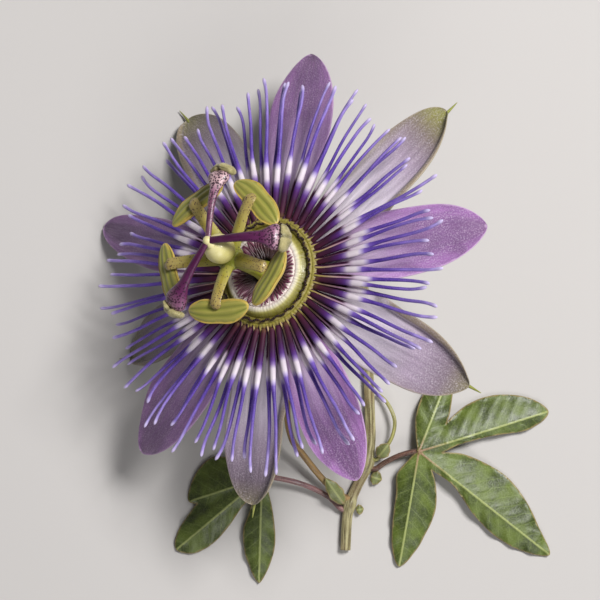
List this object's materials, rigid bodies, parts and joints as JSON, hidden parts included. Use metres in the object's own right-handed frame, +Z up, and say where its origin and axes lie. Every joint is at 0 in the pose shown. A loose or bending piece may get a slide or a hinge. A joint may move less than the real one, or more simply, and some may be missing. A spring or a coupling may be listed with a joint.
{
  "type": "passion flower",
  "caption": "Open passion flower with spread petals and sepals, a banded filament corona, stamens and styles on a column, and a cut piece of vine with lobed leaves, lying down.",
  "frame": {"origin": "middle of the footprint, on the surface that the spray lies on", "axes": "+Z up from the surface, +Y towards the top of the flower and away from the cut end of the vine, +X towards the side of the larger leaf"},
  "size_m": [0.0843, 0.0983, 0.0542],
  "materials": {
    "petal": "soft satin, lilac-purple with pink margins",
    "sepal": "soft satin, silvery lilac with grey-green tips and olive margins",
    "corona": "satin, maroon at the root, then a white band, then violet-blue to a pale tip",
    "disc": "waxy satin, green at the rim and cream-white at the crown",
    "membrane": "matte, nearly black purple beads on an olive band",
    "fringe": "matte, maroon stripes on cream",
    "column": "waxy satin, yellow-green with fine dark purple specks",
    "anther": "satin, yellow-green with golden rims and darker green stripes",
    "ovary": "waxy satin, pale green-cream",
    "style": "satin, deep maroon turning pink with dark spots",
    "stigma": "matte, pale olive-cream",
    "cup": "satin, green",
    "stem": "satin, green with an olive-brown side",
    "petiole": "satin, reddish brown over green",
    "leaf": "waxy satin, green with pale veins and a reddish margin"
  },
  "bodies": {
    "root": {"calyx_cup": "cup", "sepal_1": "sepal", "sepal_2": "sepal", "sepal_3": "sepal", "sepal_4": "sepal", "sepal_5": "sepal", "petal_1": "petal", "petal_2": "petal", "petal_3": "petal", "petal_4": "petal", "petal_5": "petal", "corona": "corona", "membrane": "membrane", "disc": "disc", "inner_fringe": "fringe", "column": "column", "anther_1": "anther", "anther_2": "anther", "anther_3": "anther", "anther_4": "anther", "anther_5": "anther", "ovary": "ovary", "style_1": "style", "style_2": "style", "style_3": "style", "stigma_1": "stigma", "stigma_2": "stigma", "stigma_3": "stigma", "bract_1": "leaf", "bract_2": "leaf", "bract_3": "leaf", "stem": "stem", "peduncle": "petiole", "petiole_left": "petiole", "petiole_right": "petiole", "tendril": "stem", "stipule_left_upper": "leaf", "stipule_left_lower": "leaf", "stipule_right_upper": "leaf", "stipule_right_lower": "leaf", "leaf_left": "leaf", "leaf_right": "leaf"}
  },
  "joints": []
}
